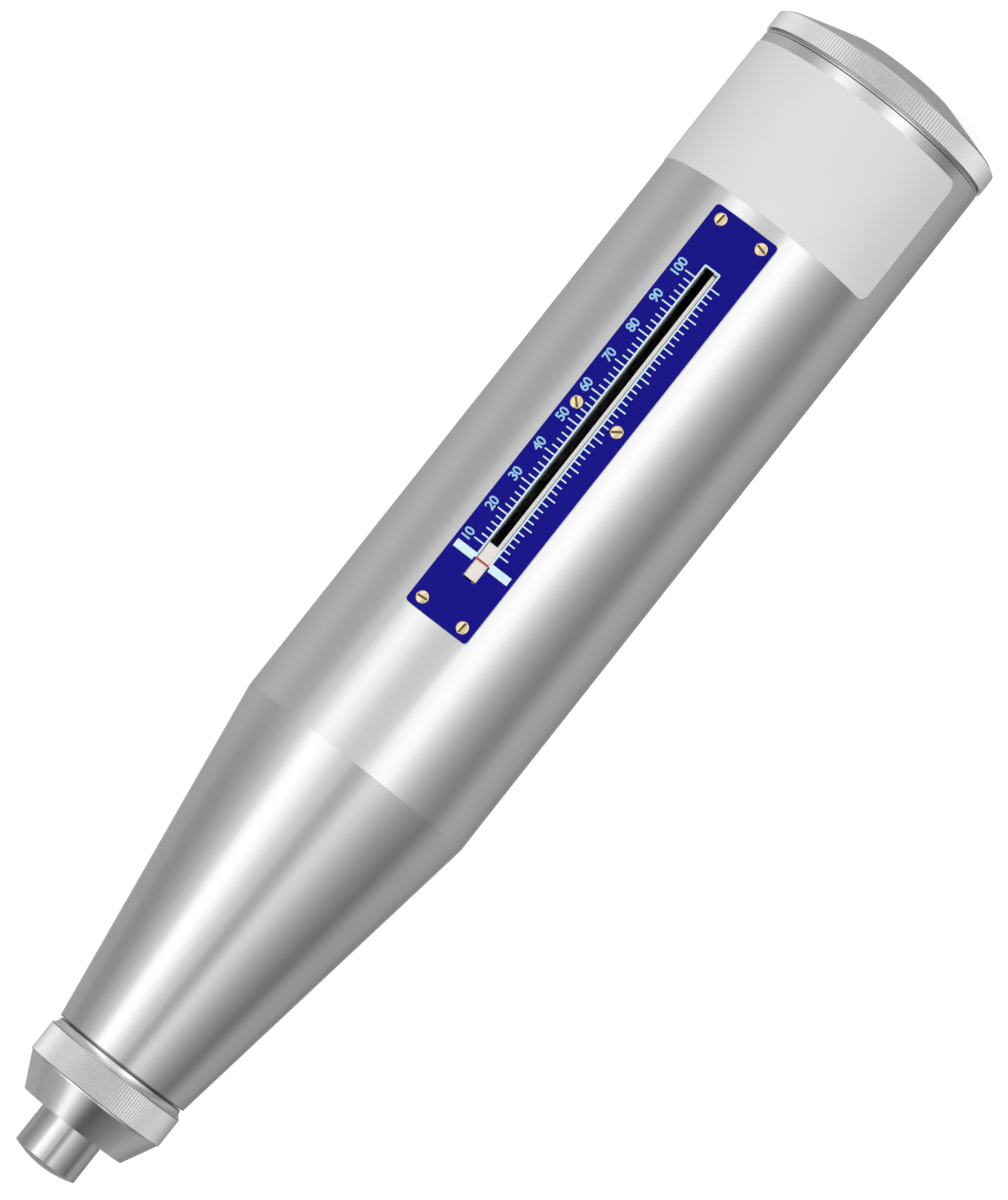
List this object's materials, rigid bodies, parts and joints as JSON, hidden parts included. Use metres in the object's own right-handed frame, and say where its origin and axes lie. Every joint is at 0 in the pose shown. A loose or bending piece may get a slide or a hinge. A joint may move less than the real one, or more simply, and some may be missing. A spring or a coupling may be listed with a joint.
{
  "type": "concrete test hammer",
  "caption": "Handheld rebound test hammer for concrete: turned tube with conical nose, plunger, scale plate with sliding index, and the sprung mass, latch and carriage inside.",
  "frame": {"origin": "centre of the rear cover's flat face", "axes": "+Z along the hammer's axis towards the plunger, -Y through the scale plate, +Y through the push button"},
  "size_m": [0.0546, 0.0574, 0.2795],
  "materials": {
    "satin_aluminium": "turned and satin finished",
    "knurled_aluminium": "fine straight knurl",
    "polished_steel": "ground and polished",
    "dark_steel": "turned, lightly oiled",
    "spring_steel": "drawn wire",
    "sleeve_brass": "turned",
    "screw_brass": "turned, slotted",
    "plate_blue": "printed deep blue with pale graduations",
    "index_white": "off-white with one red line",
    "label_grey": "blank pale grey sticker",
    "felt": "pressed felt"
  },
  "bodies": {
    "root": {"housing": "satin_aluminium", "rear_cover": "knurled_aluminium", "trip_screw": "dark_steel", "lock_nut": "dark_steel", "compression_spring": "spring_steel", "impact_spring": "spring_steel", "guide_sleeve": "sleeve_brass", "two_part_ring": "dark_steel", "front_cap": "knurled_aluminium", "felt_washer": "felt", "button_bush": "dark_steel", "button_spring": "spring_steel", "guide_rod": "polished_steel", "scale_plate": "plate_blue", "scale_screws": "screw_brass", "blank_label": "label_grey"},
    "carriage": {"plunger": "polished_steel", "guide_bar": "polished_steel", "guide_disk": "dark_steel", "bar_pin": "dark_steel", "retaining_spring": "spring_steel", "pawl_pin": "dark_steel", "pawl_spring": "spring_steel"},
    "hammer": {"hammer_mass": "dark_steel"},
    "pawl": {"pawl": "dark_steel"},
    "rider": {"rider_block": "dark_steel", "rider_index": "index_white"},
    "button": {"push_button": "dark_steel", "lock_pin": "dark_steel"}
  },
  "joints": [
    {"name": "plunger_slide", "type": "slide", "parent": "root", "child": "carriage", "axis": [0, 0, 1], "range_m": [0, 0.0765], "deforming": ["compression_spring"]},
    {"name": "hammer_slide", "type": "slide", "parent": "root", "child": "hammer", "axis": [0, 0, 1], "range_m": [-0.075, 0], "stiffness_N_per_m": 785, "deforming": ["impact_spring"]},
    {"name": "pawl_pivot", "type": "hinge", "parent": "carriage", "child": "pawl", "pos_m": [0.0125, 0, 0.04], "axis": [0, 1, 0], "range_deg": [0, 12], "stiffness_Nm_per_rad": 0.02, "springref_deg": -5.73, "deforming": ["pawl_spring"]},
    {"name": "rider_slide", "type": "slide", "parent": "root", "child": "rider", "axis": [0, 0, 1], "range_m": [-0.0691, 0]},
    {"name": "button_slide", "type": "slide", "parent": "root", "child": "button", "axis": [0, 1, 0], "range_m": [0, 0.0025]}
  ]
}
